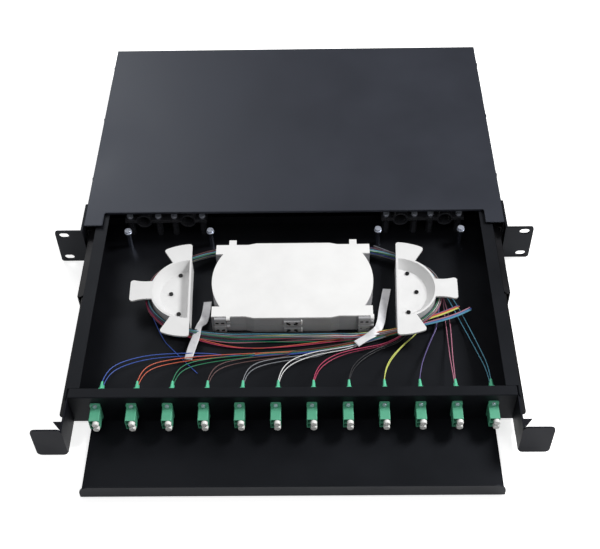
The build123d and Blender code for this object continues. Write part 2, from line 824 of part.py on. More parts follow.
# Cable clamps: two bars with two eyes each, on hexagonal standoffs
clamp_top = clamp_z + clamp_bar_gap + clamp_bar_thickness
clamp_offsets = [-clamp_screw_reach, -clamp_screw_inset, clamp_screw_inset, clamp_screw_reach]
eye_offset = (clamp_screw_reach + clamp_screw_inset) / 2
clamp_half = clamp_screw_reach + clamp_bar_margin
clamp_spots = [side * clamp_x + offset_x for side in (-1, 1) for offset_x in clamp_offsets]
clamp_screw_places = [facing(x, clamp_y, clamp_top, (0, 0, 1)) for x in clamp_spots]


def clamp_bars(level, flat_side, cut_side):
    """Both bars with half-round eyes, lying on one side of the given level."""
    outer_radius = clamp_eye_radius + clamp_bar_thickness
    with BuildSketch(front_plane(clamp_y - clamp_bar_width / 2)) as bars:
        with GridLocations(2 * clamp_x, 0, 2, 1):
            with Locations((0, level)):
                Rectangle(2 * clamp_half, clamp_bar_thickness, align=(Align.CENTER, flat_side))
                with GridLocations(2 * eye_offset, 0, 2, 1):
                    Circle(outer_radius)
                with GridLocations(2 * eye_offset, 0, 2, 1):
                    Circle(clamp_eye_radius, mode=Mode.SUBTRACT)
                half_away = (Align.CENTER, cut_side)
                Rectangle(3 * clamp_half, 3 * outer_radius, align=half_away, mode=Mode.SUBTRACT)
    extrude(bars.sketch, amount=-clamp_bar_width)
    drill(clamp_screw_places, clamp_screw_radius + screw_gap, clamp_top - clamp_z + clamp_bar_thickness)


with BuildPart() as clamp_bars_lower:
    clamp_bars(clamp_z, Align.MAX, Align.MIN)
save(clamp_bars_lower, "clamp_bars_lower")

with BuildPart() as clamp_bars_upper:
    clamp_bars(clamp_z + clamp_bar_gap, Align.MIN, Align.MAX)
save(clamp_bars_upper, "clamp_bars_upper")

with BuildPart() as clamp_standoffs:
    with BuildSketch(Plane.XY.offset(floor_top)):
        with Locations(*[(x, clamp_y) for x in clamp_spots]):
            RegularPolygon(standoff_radius, 6)
    extrude(amount=clamp_rise - clamp_bar_thickness)
save(clamp_standoffs, "clamp_standoffs")

# Posts for the cables' strength members
post_xs = [side * post_x + half * post_spread / 2 for side in (-1, 1) for half in (-1, 1)]
post_top = floor_top + post_height
with BuildPart() as member_posts:
    with BuildSketch(Plane.XY.offset(floor_top)):
        with Locations(*[(x, post_y) for x in post_xs]):
            RegularPolygon(post_radius, 6)
    extrude(amount=post_height)
save(member_posts, "member_posts")

# Screws of the clamps, and the washer-head screws on the posts
with BuildPart() as clamp_screws:
    clamp_shank = clamp_top - clamp_z + clamp_bar_thickness
    screws(clamp_screw_places, clamp_screw_head, clamp_screw_head_height, clamp_screw_radius, clamp_shank)
    with Locations(*[(x, post_y, post_top) for x in post_xs]):
        Cylinder(washer_radius, washer_thickness, align=low)
        Cylinder(clamp_screw_head, washer_thickness + clamp_screw_head_height, align=low)
save(clamp_screws, "clamp_screws")

# Wound length of the pigtails: a loop round both spools, on the drawer's floor
coil_inner_radius = spool_radius + coil_gap
coil_outer_radius = coil_inner_radius + coil_end_width
with BuildPart() as pigtail_coil:
    with BuildSketch(Plane.XY.offset(floor_top)):
        with BuildLine():
            turn = coil_end_angle - coil_front_angle
            bend = CenterArc((spool_x, spool_y), coil_outer_radius, coil_front_angle, turn)
            Polyline((0, coil_front), (coil_front_half, coil_front), bend @ 0)
            Polyline(bend @ 1, (coil_rear_half + coil_rear_flare, coil_rear), (0, coil_rear))
            mirror(about=Plane.YZ)
        make_face()
        with BuildLine():
            bend = CenterArc((spool_x, spool_y), coil_inner_radius, -90, 90 + coil_end_angle)
            Polyline((0, coil_front_inner), bend @ 0)
            Polyline(bend @ 1, (coil_rear_half, coil_rear_inner), (0, coil_rear_inner))
            mirror(about=Plane.YZ)
        make_face(mode=Mode.SUBTRACT)
    extrude(amount=coil_height)
save(pigtail_coil, "pigtail_coil")

# Pigtail routes from each boot's tip, as seen from above: the first seven join the coil's front run
front_run = [(0, 0), (2, 12), (11, 27), (27, 39), (48, 46), (70, 49.3)]
routes = {
    "blue": [(0, 0), (2, 12), (12, 27), (34, 40), (62, 47.5), (93.5, 51.2)],
    "orange": front_run,
    "green": front_run,
    "brown": front_run,
    "grey": front_run,
    "white": [(0, 0), (2, 12), (10, 27), (24, 39), (43, 46), (65, 49.3)],
    "red": [(0, 0), (2, 12), (11, 27), (27, 39.5), (48, 47), (70, 52.6)],
    "black": [(0, 0), (2, 12), (9, 26), (20, 38.5), (34, 48.5), (50, 55.6)],
    "yellow": [(0, 0), (3, 12), (10, 27), (19, 40.5), (29.5, 52), (40.4, 61.8)],
    "violet": [(0, 0), (2, 12), (5.5, 26), (10.5, 41), (16.5, 57), (23.5, 72.5)],
    "pink": [(0, 0), (1.5, 13), (4, 30), (5.5, 50), (4.8, 70), (2.4, 87.8)],
    "aqua": [(0, 0), (1.5, 14), (0.5, 35), (-5, 60), (-14, 84), (-25, 106)],
}
upper_drops = [0, 1.0, 5.2, 10.2, 13.6, 15.0]
lower_drops = [0, 1.0, 4.6, 8.2, 10.2, 11.2]


def corner_radii(points):
    """Arc at each corner that takes the same share of the shorter run beside it."""
    radii = []
    for before, here, after in zip(points, points[1:], points[2:]):
        run_in = Vector(*here) - Vector(*before)
        run_out = Vector(*after) - Vector(*here)
        shorter = min(run_in.length, run_out.length)
        radii.append(bend_share * shorter / tan(radians(run_in.get_angle(run_out) / 2)))
    return radii


def fibre(points, radius):
    """Round tube along straight runs joined by tangent arcs."""
    with BuildLine() as path:
        FilletPolyline(*points, radius=corner_radii(points))
    route = path.wire()
    with BuildSketch(Plane(origin=route @ 0, z_dir=route % 0)) as section:
        Circle(radius)
    sweep(section.sketch, path=route)
    return route.length


for x, (colour, plan) in zip(adapter_xs, routes.items()):
    start_x = x + port_offset
    start_y = boot_tip_y + fit_gap
    with BuildPart() as pigtail:
        for z, drops in zip(port_zs, (lower_drops, upper_drops)):
            points = [(start_x + dx, start_y + dy, z - drop) for (dx, dy), drop in zip(plan, drops)]
            length = fibre(points, fibre_radius)
            print(colour, "length", round(length, 1), "radii", [round(r, 1) for r in corner_radii(points)])
    save(pigtail, f"pigtail_{colour}")

# Loose ends: two small bundles that rise off the coil beside the right spool, and one strand at the left
bundle_z = floor_top + coil_height + bundle_radius + fit_gap
strand_z = floor_top + fibre_radius + fit_gap / 2
bundle_rises = [0, 0.6, 1.6, 2.6]
strand_rises = [0, 0, 0, 0]
end_routes = [
    ([(130, 77.5), (141, 84), (151, 90), (161, 95.5)], bundle_z, bundle_rises, bundle_radius),
    ([(128, 73), (144, 79), (160, 86), (173, 95)], bundle_z, bundle_rises, bundle_radius),
    ([(-125.5, 58), (-115, 46.5), (-103, 34), (-90, 20)], strand_z, strand_rises, fibre_radius),
]
with BuildPart() as pigtail_ends:
    for plan, z, rises, radius in end_routes:
        placed = [(x, boot_tip_y + y, z + rise) for (x, y), rise in zip(plan, rises)]
        length = fibre(placed, radius)
        print("end", "length", round(length, 1), "radii", [round(r, 1) for r in corner_radii(placed)])
save(pigtail_ends, "pigtail_ends")

# Straps that tie the pigtails: flat bands over the coil's front run, beside the splice tray
strap_z = floor_top + coil_height + fit_gap
lean = radians(strap_turn)
for name, x in strap_xs.items():
    across = Plane(origin=(x, strap_y, 0), x_dir=(sin(lean), cos(lean), 0), z_dir=(cos(lean), -sin(lean), 0))
    with BuildPart() as strap:
        with BuildSketch(across):
            with BuildLine():
                band = Polyline(
                    (-strap_rest, strap_z),
                    (strap_rest, strap_z),
                    (strap_rest + strap_tail, strap_z - strap_droop),
                )
                offset(band, amount=strap_thickness, side=Side.LEFT)
            make_face()
        extrude(amount=strap_width / 2, both=True)
    save(strap, name)
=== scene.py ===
import json
import math
import random

import bmesh
import bpy
from mathutils import Matrix, Vector


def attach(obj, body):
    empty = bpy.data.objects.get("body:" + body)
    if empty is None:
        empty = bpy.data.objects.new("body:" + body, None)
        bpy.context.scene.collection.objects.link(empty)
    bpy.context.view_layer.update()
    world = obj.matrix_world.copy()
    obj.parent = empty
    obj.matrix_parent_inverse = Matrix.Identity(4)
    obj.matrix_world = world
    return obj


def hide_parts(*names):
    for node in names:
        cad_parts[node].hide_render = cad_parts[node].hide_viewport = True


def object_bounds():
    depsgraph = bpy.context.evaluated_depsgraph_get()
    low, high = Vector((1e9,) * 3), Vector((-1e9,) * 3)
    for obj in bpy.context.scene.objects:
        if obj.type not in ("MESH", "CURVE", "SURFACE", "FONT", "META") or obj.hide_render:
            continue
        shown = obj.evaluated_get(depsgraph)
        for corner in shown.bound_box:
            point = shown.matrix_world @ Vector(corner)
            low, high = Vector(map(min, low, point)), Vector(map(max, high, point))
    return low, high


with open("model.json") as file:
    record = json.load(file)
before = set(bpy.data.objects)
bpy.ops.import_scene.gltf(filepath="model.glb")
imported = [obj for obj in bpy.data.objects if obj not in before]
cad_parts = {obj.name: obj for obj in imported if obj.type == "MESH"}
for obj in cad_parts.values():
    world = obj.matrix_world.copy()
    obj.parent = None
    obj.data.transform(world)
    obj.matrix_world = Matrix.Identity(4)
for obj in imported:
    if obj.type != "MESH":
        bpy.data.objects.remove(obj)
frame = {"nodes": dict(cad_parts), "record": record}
cad_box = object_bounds()
nodes = frame["nodes"]
mm = 0.001

# Camera of the photograph: place in metres, lens in millimetres, angles in degrees
camera_place = Vector((0.0219, -0.7187, 0.7670))
camera_lens = 61.76
camera_sensor = 36
camera_elevation = 48.53
camera_azimuth = -1.315
camera_roll = -1.49

# Places shared with the CAD source, in millimetres
adapter_pitch = 32.13
adapter_row_x = 1.5
adapter_count = 12
port_offset = 1.6
port_zs = (-4.525, 1.725)
boot_tip_y = -171.0
fit_gap = 0.2
floor_top = -17.4
coil_height = 5.0
spool_x, spool_y = 101.0, -60.0

# Pigtails: 0.9 mm buffered fibre, about 1 m long
fibre_diameter = 0.9
pigtail_length = 1.0
colours = {
    "blue": (0.045, 0.10, 0.42),
    "orange": (0.58, 0.115, 0.06),
    "green": (0.015, 0.20, 0.09),
    "brown": (0.11, 0.053, 0.05),
    "grey": (0.20, 0.21, 0.23),
    "white": (0.72, 0.72, 0.72),
    "red": (0.43, 0.035, 0.10),
    "black": (0.014, 0.014, 0.017),
    "yellow": (0.60, 0.64, 0.15),
    "violet": (0.13, 0.10, 0.26),
    "pink": (0.48, 0.18, 0.26),
    "aqua": (0.09, 0.30, 0.42),
}

scene = bpy.context.scene
scene.view_settings.view_transform = "Standard"


# Materials: noise between these two values is spread over a range of colours or roughness
noise_low, noise_high = 0.3, 0.7
grain_detail = 3.0
grain_strength = 0.5
edge_samples = 4


def new_material(name):
    """Node material with its tree and its shader."""
    material = bpy.data.materials.new(name)
    material.use_nodes = True
    tree = material.node_tree
    return material, tree, tree.nodes["Principled BSDF"]


def noise(tree, scale, detail=4.0, roughness=0.55):
    """Noise in the object's own coordinates, in metres."""
    coordinates = tree.nodes.new("ShaderNodeTexCoord")
    texture = tree.nodes.new("ShaderNodeTexNoise")
    texture.inputs["Scale"].default_value = scale
    texture.inputs["Detail"].default_value = detail
    texture.inputs["Roughness"].default_value = roughness
    tree.links.new(coordinates.outputs["Object"], texture.inputs["Vector"])
    return texture.outputs["Fac"]


def spread(tree, value, low, high):
    """Map a noise value to a range."""
    node = tree.nodes.new("ShaderNodeMapRange")
    node.inputs["From Min"].default_value = noise_low
    node.inputs["From Max"].default_value = noise_high
    node.inputs["To Min"].default_value = low
    node.inputs["To Max"].default_value = high
    tree.links.new(value, node.inputs["Value"])
    return node.outputs["Result"]


def mottle(tree, value, dark, light):
    """Colour between two tones, chosen by a noise value."""
    ramp = tree.nodes.new("ShaderNodeValToRGB")
    ramp.color_ramp.elements[0].position = noise_low
    ramp.color_ramp.elements[0].color = (*dark, 1)
    ramp.color_ramp.elements[1].position = noise_high
    ramp.color_ramp.elements[1].color = (*light, 1)
    tree.links.new(value, ramp.inputs["Fac"])
    return ramp.outputs["Color"]


def bump(tree, shader, value, height, edge_radius):
    """Fine grain on softly rounded edges."""
    edge = tree.nodes.new("ShaderNodeBevel")
    edge.samples = edge_samples
    edge.inputs["Radius"].default_value = edge_radius * mm
    node = tree.nodes.new("ShaderNodeBump")
    node.inputs["Strength"].default_value = grain_strength
    node.inputs["Distance"].default_value = height
    tree.links.new(value, node.inputs["Height"])
    tree.links.new(edge.outputs["Normal"], node.inputs["Normal"])
    tree.links.new(node.outputs["Normal"], shader.inputs["Normal"])


def tones(colour, change):
    """A darker and a lighter tone of a colour."""
    dark = tuple(max(0.0, c * (1 - change)) for c in colour)
    light = tuple(min(1.0, c * (1 + change)) for c in colour)
    return dark, light


def surface(name, colour, change, patch, rough, grain, grain_height,
            metallic=0.0, specular=0.5, tint=(1, 1, 1), edge=0.4):
    """Colour in patches, roughness that follows it and a fine grain in metres, with edges rounded in mm."""
    material, tree, shader = new_material(name)
    patches = noise(tree, patch)
    tree.links.new(mottle(tree, patches, *tones(colour, change)), shader.inputs["Base Color"])
    tree.links.new(spread(tree, patches, *rough), shader.inputs["Roughness"])
    bump(tree, shader, noise(tree, grain, grain_detail), grain_height, edge)
    shader.inputs["Metallic"].default_value = metallic
    shader.inputs["Specular IOR Level"].default_value = specular
    shader.inputs["Specular Tint"].default_value = (*tint, 1)
    return material


cool = (0.78, 0.86, 1.0)
black_sheet = surface("black_sheet", (0.0040, 0.0041, 0.0052), 0.2, 18, (0.42, 0.52), 2600, 0.00006,
                      specular=0.17, tint=cool)
cover_sheet = surface("cover_sheet", (0.017, 0.0185, 0.026), 0.12, 12, (0.42, 0.50), 2600, 0.00006,
                      specular=0.5, tint=cool, edge=1.6)
pull_sheet = surface("pull_sheet", (0.0045, 0.0043, 0.0068), 0.15, 30, (0.42, 0.52), 2600, 0.00006,
                     specular=0.14, tint=cool)
slide_steel = surface("slide_steel", (0.012, 0.012, 0.014), 0.2, 60, (0.30, 0.42), 1500, 0.00003, 0.4, 0.25)
black_screw = surface("black_screw", (0.008, 0.008, 0.009), 0.2, 300, (0.30, 0.42), 2500, 0.00003, 0.3, 0.3)
zinc_steel = surface("zinc_steel", (0.58, 0.62, 0.72), 0.1, 200, (0.22, 0.36), 1800, 0.00003, 0.55)
post_steel = surface("post_steel", (0.55, 0.58, 0.68), 0.1, 200, (0.12, 0.22), 1800, 0.00003, 1.0)
dark_steel = surface("dark_steel", (0.035, 0.036, 0.042), 0.2, 200, (0.24, 0.36), 1800, 0.00003, 0.4, 0.7)
white_plastic = surface("white_plastic", (0.775, 0.775, 0.77), 0.03, 40, (0.40, 0.50), 3000, 0.00003)
spool_plastic = surface("spool_plastic", (0.70, 0.70, 0.70), 0.03, 50, (0.42, 0.52), 3000, 0.00003)
grey_plastic = surface("grey_plastic", (0.36, 0.36, 0.375), 0.06, 60, (0.42, 0.52), 3000, 0.00003)
cap_plastic = surface("cap_plastic", (0.82, 0.82, 0.80), 0.03, 150, (0.34, 0.44), 3000, 0.00002)
green_plastic = surface("green_plastic", (0.10, 0.40, 0.25), 0.08, 90, (0.32, 0.44), 3000, 0.00003)
boot_green = surface("boot_green", (0.10, 0.56, 0.33), 0.06, 150, (0.42, 0.52), 2500, 0.00003)
rubber = surface("rubber_edge", (0.012, 0.012, 0.012), 0.2, 80, (0.70, 0.85), 2500, 0.00005)

# Strap film: slightly see-through
film_patch = 120
film_dark, film_light = (0.74, 0.74, 0.77), (0.90, 0.90, 0.92)
film_rough = (0.25, 0.40)
film_alpha = 0.85
film, film_tree, film_shader = new_material("strap_film")
film_noise = noise(film_tree, film_patch)
film_tones = mottle(film_tree, film_noise, film_dark, film_light)
film_tree.links.new(film_tones, film_shader.inputs["Base Color"])
film_tree.links.new(spread(film_tree, film_noise, *film_rough), film_shader.inputs["Roughness"])
film_shader.inputs["Alpha"].default_value = film_alpha

fibre_materials = {}
for colour, value in colours.items():
    fibre_materials[colour] = surface(f"fibre_{colour}", value, 0.08, 120, (0.38, 0.50), 3000, 0.00002)

by_slot = {
    "black_sheet": black_sheet,
    "slide_steel": slide_steel,
    "black_screw": black_screw,
    "zinc_steel": zinc_steel,
    "dark_steel": dark_steel,
    "white_plastic": white_plastic,
    "grey_plastic": grey_plastic,
    "green_plastic": green_plastic,
    "boot_green": boot_green,
    "rubber_edge": rubber,
    "strap_film": film,
    "fibre_mix": fibre_materials["white"],
}
for colour, material in fibre_materials.items():
    by_slot[f"fibre_{colour}"] = material


def dress(obj, material):
    """Give an object one material."""
    obj.data.materials.clear()
    obj.data.materials.append(material)


for part in frame["record"]["subparts"]:
    dress(nodes[part["node"]], by_slot[part["material_slot"]])
dress(nodes["case_cover"], cover_sheet)
dress(nodes["member_posts"], post_steel)
for name in nodes:
    if name.startswith("dust_cap"):
        dress(nodes[name], cap_plastic)
    if name.startswith("handle"):
        dress(nodes[name], pull_sheet)
    if name in ("spool_left", "spool_right"):
        dress(nodes[name], spool_plastic)

# Pigtails: a tail from each boot, then turns round both spools in lanes of the coil.
# Pairs give the coil's inner and outer side. Stations run round it from the middle of its front.
coil_fronts = (-102.8, -114.0)
coil_rears = (-2.4, 4.0)
coil_radii = (41.4, 46.5)
front_xs = (0, 35, 68)
bend_angles = (-75, -50, -25, 0, 25, 50)
rear_xs = ((80, 82), (40, 40), (0, 0))
station_rises = (0, 0, 0.3, 4.5, 8, 8, 8, 8.2, 8, 5, 3, 3)
station_spreads = (0.8, 0.8, 0.7, 0.7, 0.8, 0.8, 0.8, 0.75, 0.75, 0.75, 0.7, 0.7)
lane_columns = 6
lane_rows = 8
lane_foot = 0.6
lowest_height = 0.5
across_jitter = 0.07
height_jitter = 0.4
turn_length = 690.0
lane_change_start = 0.7
lane_change_span = 0.4
leaving_stations = 5
shortest_run = 14.0
tail_line = {20: -130.0, 21: -130.5, 22: -129.0, 23: -124.5, 24: -116.5}
tail_room = 5.0

# Two strands bulge away from the coil's front on their second pass
loose_height = 1.5
loose_bulges = {41: 0.3, 42: 0.9, 43: 1.3, 44: 1.0, 45: 0.4}
loose_strands = {("orange", 1): 1.0, ("red", 1): 0.6}

# Tails: offsets from the boot in plan, and how far they have come down at each
front_run = [(0, 0), (2, 12), (11, 24), (27, 32), (48, 37.5), (70, 40.5)]
routes = {
    "blue": [(0, 0), (2, 12), (12, 25.5), (34, 37), (62, 42), (93.5, 42.8)],
    "orange": front_run,
    "green": front_run,
    "brown": front_run,
    "grey": front_run,
    "white": [(0, 0), (2, 12), (10, 26), (24, 37), (43, 44.5), (65, 49)],
    "red": [(0, 0), (2, 12), (11, 27), (27, 39.5), (48, 47), (70, 52.6)],
    "black": [(0, 0), (2, 12), (9, 26), (20, 38.5), (34, 48.5), (50, 55.6)],
    "yellow": [(0, 0), (1.5, 12), (7, 27), (15, 41), (25, 54), (35.5, 65)],
    "violet": [(0, 0), (2, 12), (5.5, 26), (10.5, 41), (16.5, 57), (23.5, 72.5)],
    "pink": [(0, 0), (0.3, 13), (1, 30), (2.5, 50), (3.6, 70), (3.5, 87.8)],
    "aqua": [(0, 0), (0, 14), (-3.8, 35), (-9, 60), (-15, 84), (-21.5, 106)],
}
upper_drops = [0, 1.0, 5.2, 10.2, 13.6, 15.0]
lower_drops = [0, 1.0, 4.6, 8.2, 10.2, 11.2]
lower_falls = [0, 0.3, 0.8, 1.2, 1.5, 1.0]
no_falls = [0] * len(lower_falls)
pair_gaps = {"yellow": 1.2, "violet": 1.2, "pink": 3.6, "aqua": 4.2}
pair_parts = [0, 0.15, 0.45, 0.75, 1.0, 1.0]


def half_ring(side):
    """Inner and outer places along half of the coil, from the middle of its front to that of its rear."""
    places = []
    for x in front_xs:
        places.append((Vector((side * x, coil_fronts[0])), Vector((side * x, coil_fronts[1]))))
    for angle in bend_angles:
        out = Vector((side * math.cos(math.radians(angle)), math.sin(math.radians(angle))))
        centre = Vector((side * spool_x, spool_y))
        places.append((centre + out * coil_radii[0], centre + out * coil_radii[1]))
    for inner_x, outer_x in rear_xs:
        places.append((Vector((side * inner_x, coil_rears[0])), Vector((side * outer_x, coil_rears[1]))))
    return places


ring = half_ring(1) + half_ring(-1)[-2:0:-1]
rises = station_rises + station_rises[-2:0:-1]
spreads = station_spreads + station_spreads[-2:0:-1]


def ring_point(station, across, height):
    """Point of the coil: across runs from its inner to its outer side, height from its underside."""
    place = station % len(ring)
    inner, outer = ring[place]
    spot = inner.lerp(outer, across)
    return Vector((spot.x, spot.y, floor_top + rises[place] + height * spreads[place]))


def tail_point(station, room, height):
    """Point of the outer line that the tails follow along the front before they join the coil."""
    inner, outer = ring[station % len(ring)]
    return Vector((inner.x, tail_line[station] + room, floor_top + height))


def first_station(point):
    """The coil's first station ahead of a tail's end, at least a short run away."""
    middles = [(ring[i][1] + ring[(i + 1) % len(ring)][1]) / 2 for i in range(len(ring))]
    nearest = min(range(len(ring)), key=lambda i: (middles[i] - point.xy).length)
    ahead = nearest + 1
    if (ring[ahead % len(ring)][1] - point.xy).length < shortest_run:
        ahead += 1
    return ahead if ahead >= min(tail_line) else ahead + len(ring)


def new_curve(name, points, diameter):
    """Smooth round cord along its control points, given in millimetres."""
    data = bpy.data.curves.new(name, "CURVE")
    data.dimensions = "3D"
    data.bevel_depth = diameter / 2 * mm
    data.bevel_resolution = 2
    data.resolution_u = 4
    data.use_fill_caps = True
    spline = data.splines.new("NURBS")
    spline.points.add(len(points) - 1)
    for control, point in zip(spline.points, points):
        control.co = (*(Vector(point) * mm), 1)
    spline.order_u = 3
    spline.use_endpoint_u = True
    obj = bpy.data.objects.new(name, data)
    scene.collection.objects.link(obj)
    return obj


def run_length(points):
    """Length along straight lines between points."""
    return sum((b - a).length for a, b in zip(points, points[1:]))


# Ends that leave the coil: two flat bundles beside the right spool, and one blue strand at the left
bundle_lift = 6.2
bundle_z = floor_top + coil_height + bundle_lift
bundle_rises = (0, 0.6, 1.6, 2.6)
bundle_step = 0.8
bundle_scatter = (-3, 2)
bundle_across = 0.25
bundle_across_step = 0.1
bundles = [
    ([(129, -92.9), (140, -89.4), (150.5, -85.4), (161, -80.9)],
     [("yellow", 0), ("yellow", 1), ("orange", 0), ("orange", 1), ("violet", 0)]),
    ([(129, -99.4), (144, -95.4), (159, -90.4), (172.5, -83.4)],
     [("aqua", 0), ("aqua", 1), ("blue", 1), ("grey", 0), ("pink", 0)]),
]
strand = [(-125.5, -110), (-115, -121.5), (-103, -135), (-90, -149)]
strand_lift = 0.6
strand_across = 0.5
strand_z = floor_top + strand_lift
bundle_station = 3
strand_station = 17

seed = 7
chance = random.Random(seed)
stubs = {}
for plan, keys in bundles:
    run = (Vector(plan[-1]) - Vector(plan[0])).normalized()
    sideways = Vector((-run.y, run.x))
    for place, key in enumerate(keys):
        shift = sideways * (place - (len(keys) - 1) / 2) * bundle_step
        points = []
        for (x, y), rise in zip(plan, bundle_rises):
            points.append(Vector((x + shift.x, y + shift.y, bundle_z + rise)))
        end_run = Vector((run.x, run.y, 0)) * chance.uniform(*bundle_scatter)
        points[-1] = points[-1] + end_run
        stubs[key] = (bundle_station, bundle_across + bundle_across_step * place, points)
strand_points = [Vector((x, y, strand_z)) for x, y in strand]
stubs[("blue", 0)] = (strand_station, strand_across, strand_points)

lanes = []
for column in range(lane_columns):
    for row in range(lane_rows):
        lanes.append(((column + 0.5) / lane_columns, lane_foot + row))
chance.shuffle(lanes)
adapter_half = adapter_pitch * (adapter_count - 1) / 2
adapter_xs = [adapter_row_x - adapter_half + adapter_pitch * i for i in range(adapter_count)]


def wound(station, first_lane, second_lane, length, loose, last_station=None, last_across=None):
    """Control points of the turns, from the tail's end until the length or the last station is used up."""
    points = []
    began = station
    turn = len(ring)
    if last_station is not None:
        turns = max(1, round(length / turn_length - (last_station - began) / turn))
        last_station += turns * turn
    while True:
        turned = (station - began) / turn
        change = min(1.0, max(0.0, (turned - lane_change_start) / lane_change_span))
        across = first_lane[0] + (second_lane[0] - first_lane[0]) * change
        height = first_lane[1] + (second_lane[1] - first_lane[1]) * change
        if last_station is not None:
            leave = max(0.0, 1 - (last_station - station) / leaving_stations)
            across += (last_across - across) * leave
        across = min(1.0, max(0.0, across + chance.uniform(-across_jitter, across_jitter)))
        height = max(lowest_height, height + chance.uniform(-height_jitter, height_jitter))
        bulge = loose * loose_bulges.get(station, 0.0)
        across += bulge
        if bulge > 0:
            height = min(height, loose_height)
        if station in tail_line:
            points.append(tail_point(station, across * tail_room, height / 2))
        else:
            points.append(ring_point(station, across, height))
        if last_station is not None and station >= last_station:
            return points
        if last_station is None and run_length(points) > length:
            return points
        station += 1


def begin_front(x, plan):
    """Whether a tail joins the front run of the coil."""
    return x + plan[-1][0] < front_xs[-1]


for x, (colour, plan) in zip(adapter_xs, routes.items()):
    for number, (z, drops) in enumerate(zip(port_zs, (lower_drops, upper_drops))):
        start = Vector((x + port_offset, boot_tip_y + fit_gap, z))
        falls = lower_falls if number == 0 and begin_front(x, plan) else no_falls
        gap = pair_gaps.get(colour, 0.0) if number == 0 else 0.0
        tail = []
        for (dx, dy), drop, fall, part in zip(plan, drops, falls, pair_parts):
            tail.append(start + Vector((dx - gap * part, dy - fall, -drop)))
        lane_pair = (lanes.pop(), lanes.pop())
        begin = first_station(tail[-1])
        left_over = pigtail_length / mm - run_length(tail)
        loose = loose_strands.get((colour, number), 0.0)
        if (colour, number) in stubs:
            last_station, last_across, stub = stubs[(colour, number)]
            turns = wound(begin, *lane_pair, left_over, loose, last_station, last_across) + stub
        else:
            turns = wound(begin, *lane_pair, left_over, loose)
        cord = new_curve(f"pigtail_{colour}_{number + 1}", tail + turns, fibre_diameter)
        dress(cord, fibre_materials[colour])
        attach(cord, "drawer")
        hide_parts(f"pigtail_{colour}")
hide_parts("pigtail_coil", "pigtail_ends")


# Straps: thin bands over the pigtails, bent and slightly twisted along lines of places and twist angles
strap_width = 8.0
strap_thickness = 0.35
strap_lines = {
    "strap_left": [
        (-85.6, -62, -16.2, 6), (-86, -73, -15.8, 0), (-87.5, -88, -13.4, -14), (-91.6, -99, -10.2, 26),
        (-93.6, -111, -10.6, 8), (-96.7, -123, -11.8, 0), (-99.4, -135, -13.6, 8),
    ],
    "strap_right": [
        (93, -47, -16.2, 8), (90.4, -60, -16.0, 0), (87.5, -75, -14.4, -4), (84.4, -94, -11.0, -16),
        (80, -105, -9.8, -34), (71, -112, -10.6, 6), (60, -119.5, -11.6, 0),
    ],
}
strap_shares = (-0.5, -0.42, -0.2, 0.2, 0.42, 0.5)
band_steps = 6


def between(a, b, c, d, t):
    """Smooth value between b and c."""
    slope = c - a
    bend = 2 * a - 5 * b + 4 * c - d
    twist = 3 * b - a - 3 * c + d
    return 0.5 * (2 * b + slope * t + bend * t * t + twist * t ** 3)


def new_piece(name, mesh):
    """Object from a finished mesh."""
    data = bpy.data.meshes.new(name)
    mesh.to_mesh(data)
    mesh.free()
    obj = bpy.data.objects.new(name, data)
    scene.collection.objects.link(obj)
    return obj


def band(name, line):
    """Band of even thickness along a line of places and twist angles."""
    samples = []
    padded = [line[0]] + line + [line[-1]]
    for a, b, c, d in zip(padded, padded[1:], padded[2:], padded[3:]):
        for step in range(band_steps):
            samples.append([between(*values, step / band_steps) for values in zip(a, b, c, d)])
    samples.append(list(line[-1]))
    mesh = bmesh.new()
    rows = []
    for i, (x, y, z, twist) in enumerate(samples):
        before, after = samples[max(0, i - 1)], samples[min(len(samples) - 1, i + 1)]
        along = (Vector(after[:3]) - Vector(before[:3])).normalized()
        side = along.cross(Vector((0, 0, 1))).normalized()
        side = Matrix.Rotation(math.radians(twist), 3, along) @ side
        row = []
        for across in strap_shares:
            row.append(mesh.verts.new((Vector((x, y, z)) + side * across * strap_width) * mm))
        rows.append(row)
    for row, following in zip(rows, rows[1:]):
        for a, b, c, d in zip(row, row[1:], following[1:], following):
            mesh.faces.new((a, b, c, d))
    obj = new_piece(name, mesh)
    for face in obj.data.polygons:
        face.use_smooth = True
    thicken = obj.modifiers.new("thickness", "SOLIDIFY")
    thicken.thickness = strap_thickness * mm
    thicken.offset = 0
    return obj


for name, line in strap_lines.items():
    strap = band(f"{name}_band", line)
    dress(strap, film)
    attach(strap, "drawer")
    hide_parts(name)

# Cassette fronts: thin dark plates as painted shade where the slots of the hinge blocks and catches are,
# and a white rib beside each catch.
# A plate's sections give shares of its thickness and of its outline.
plate_steps = 20
plate_sections = ((-0.3, 1.0), (0.5, 1.0), (1.0, 0.8))
painted_slot_shade_thickness = 0.3
rib_thickness = 2.0
block_front = -101.2
catch_front = -101.7
side_front = -99.5
# Painted shade: dark plates stand in for the shadowed holes of the slots; they are not real recesses
painted_slot_shade_lower = [
    (-73.0, block_front, -12.4, 3.4, 2.0, 0), (-67.6, block_front, -12.4, 3.4, 2.0, 0),
    (-4.6, catch_front, -12.9, 4.6, 2.3, 28), (2.6, catch_front, -12.9, 4.6, 2.3, -28),
]
painted_slot_shade_upper = [
    (-73.0, block_front, -1.8, 3.4, 2.0, 0), (-67.6, block_front, -1.8, 3.4, 2.0, 0),
    (65.6, block_front, -1.2, 3.0, 1.8, 0), (70.6, block_front, -1.2, 3.0, 1.8, 0),
    (-4.6, catch_front, -2.9, 4.6, 2.3, -28), (2.6, catch_front, -2.9, 4.6, 2.3, 28),
]
rib_lower = [(8.0, side_front, -13.2, 1.8, 6.4, 0)]
rib_upper = [(8.0, side_front, -2.1, 1.8, 7.4, 0)]


def rounded(value):
    """Cosine or sine drawn out towards a corner."""
    return math.copysign(math.sqrt(abs(value)), value)


